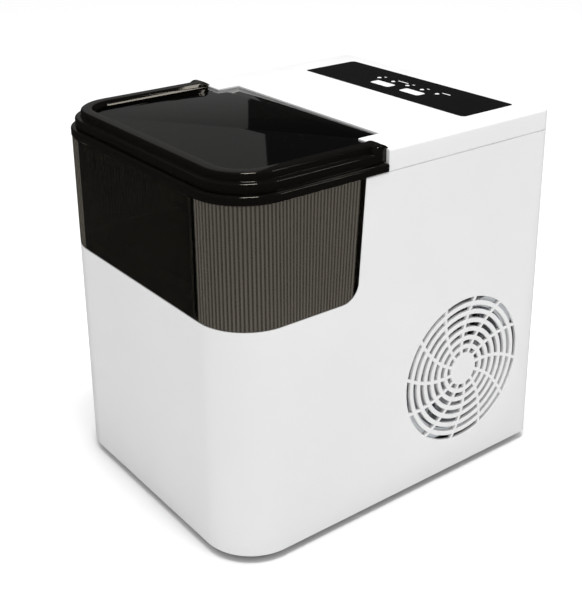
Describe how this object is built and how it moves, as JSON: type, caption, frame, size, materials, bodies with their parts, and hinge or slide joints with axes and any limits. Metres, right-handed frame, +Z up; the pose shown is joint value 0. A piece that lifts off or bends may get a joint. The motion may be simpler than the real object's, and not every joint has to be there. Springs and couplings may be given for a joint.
{
  "type": "ice maker",
  "caption": "Countertop ice maker with a white housing, a ribbed smoked viewing window, a hinged stepped lid, a black control strip and a round fan grille.",
  "frame": {"origin": "centre of the bottom of the bounding box, on the surface the ice maker stands on", "axes": "+Z up, -Y towards the front with the viewing window, +X towards the side with the fan grille"},
  "size_m": [0.241, 0.298, 0.2905],
  "materials": {
    "white_housing": "satin white moulded plastic",
    "white_button": "satin white",
    "light_bar": "frosted white",
    "smoked_plastic": "polished, dark smoky brown, clear",
    "black_glass": "polished black",
    "circuit_board": "green solder mask",
    "zinc_sheet": "zinc-coated sheet",
    "rubber": "matt",
    "steel": "bright",
    "pale_plastic": "satin",
    "grey_plastic": "satin",
    "black_plastic": "fine texture",
    "foam": "cut foam",
    "nickel": "nickel plating",
    "copper": "drawn copper tube",
    "aluminium": "bare fins",
    "black_paint": "gloss black enamel",
    "silicone": "translucent white"
  },
  "bodies": {
    "housing": {"base_pan": "zinc_sheet", "board_tray": "black_plastic", "capillary_tube": "copper", "compressor": "black_paint", "compressor_grommet_1": "rubber", "compressor_grommet_2": "rubber", "compressor_grommet_3": "rubber", "condenser": "aluminium", "condenser_line": "copper", "control_glass": "black_glass", "discharge_line": "copper", "display_board": "circuit_board", "drain_socket": "black_plastic", "drain_tube": "silicone", "evaporator": "nickel", "evaporator_clamp_left": "black_plastic", "evaporator_clamp_right": "black_plastic", "fan_frame": "pale_plastic", "fill_spout": "grey_plastic", "filter_drier": "copper", "foam_jacket": "foam", "hot_gas_valve": "nickel", "ice_chute": "grey_plastic", "ice_sensor_emitter": "black_plastic", "ice_sensor_receiver": "black_plastic", "light_guide": "light_bar", "liquid_line": "copper", "main_board": "circuit_board", "panel_screw_1": "steel", "panel_screw_2": "steel", "panel_screw_3": "steel", "panel_screw_4": "steel", "partition_wall": "zinc_sheet", "power_inlet": "black_plastic", "pump_hose": "silicone", "rear_panel": "white_housing", "rubber_foot_1": "rubber", "rubber_foot_2": "rubber", "rubber_foot_3": "rubber", "rubber_foot_4": "rubber", "side_shell": "white_housing", "suction_line": "copper", "tank_liner": "pale_plastic", "terminal_cover": "black_plastic", "top_cover": "white_housing", "tray_gearmotor": "grey_plastic", "viewing_window": "smoked_plastic", "water_pump": "black_plastic"},
    "lid": {"lid": "smoked_plastic", "hinge_pin_left": "steel", "hinge_pin_right": "steel"},
    "power_button": {"power_button": "white_button"},
    "select_button": {"select_button": "white_button"},
    "ice_basket": {"ice_basket": "pale_plastic"},
    "water_tray": {"water_tray": "pale_plastic"},
    "ice_pusher": {"ice_pusher": "grey_plastic"},
    "fan_rotor": {"fan_rotor": "pale_plastic"},
    "drain_plug": {"drain_plug": "grey_plastic", "drain_seal": "rubber"},
    "level_float": {"level_float": "pale_plastic"}
  },
  "joints": [
    {"name": "lid_hinge", "type": "hinge", "parent": "housing", "child": "lid", "pos_m": [0, -0.021, 0.283], "axis": [-1, 0, 0], "range_deg": [0, 94]},
    {"name": "power_button_press", "type": "slide", "parent": "housing", "child": "power_button", "axis": [0, 0, -1], "range_m": [0, 0.0006], "stiffness_N_per_m": 500, "springref_m": -0.0004},
    {"name": "select_button_press", "type": "slide", "parent": "housing", "child": "select_button", "axis": [0, 0, -1], "range_m": [0, 0.0006], "stiffness_N_per_m": 500, "springref_m": -0.0004},
    {"name": "basket_lift", "type": "slide", "parent": "housing", "child": "ice_basket", "axis": [0, 0, 1], "range_m": [0, 0.06]},
    {"name": "tray_tilt", "type": "hinge", "parent": "housing", "child": "water_tray", "pos_m": [0, -0.024, 0.222], "axis": [1, 0, 0], "range_deg": [0, 90]},
    {"name": "pusher_swing", "type": "hinge", "parent": "housing", "child": "ice_pusher", "pos_m": [0, -0.024, 0.222], "axis": [1, 0, 0], "range_deg": [-60, 0]},
    {"name": "fan_spin", "type": "hinge", "parent": "housing", "child": "fan_rotor", "pos_m": [0.106, 0.0663, 0.092], "axis": [1, 0, 0], "continuous": true},
    {"name": "drain_plug_pull", "type": "slide", "parent": "housing", "child": "drain_plug", "axis": [0, 1, 0], "range_m": [0, 0.02]},
    {"name": "float_rise", "type": "slide", "parent": "housing", "child": "level_float", "axis": [0, 0, 1], "range_m": [0, 0.012]}
  ],
  "couplings": [
    {"joint": "pusher_swing", "follows": "tray_tilt", "ratio": -0.666}
  ]
}
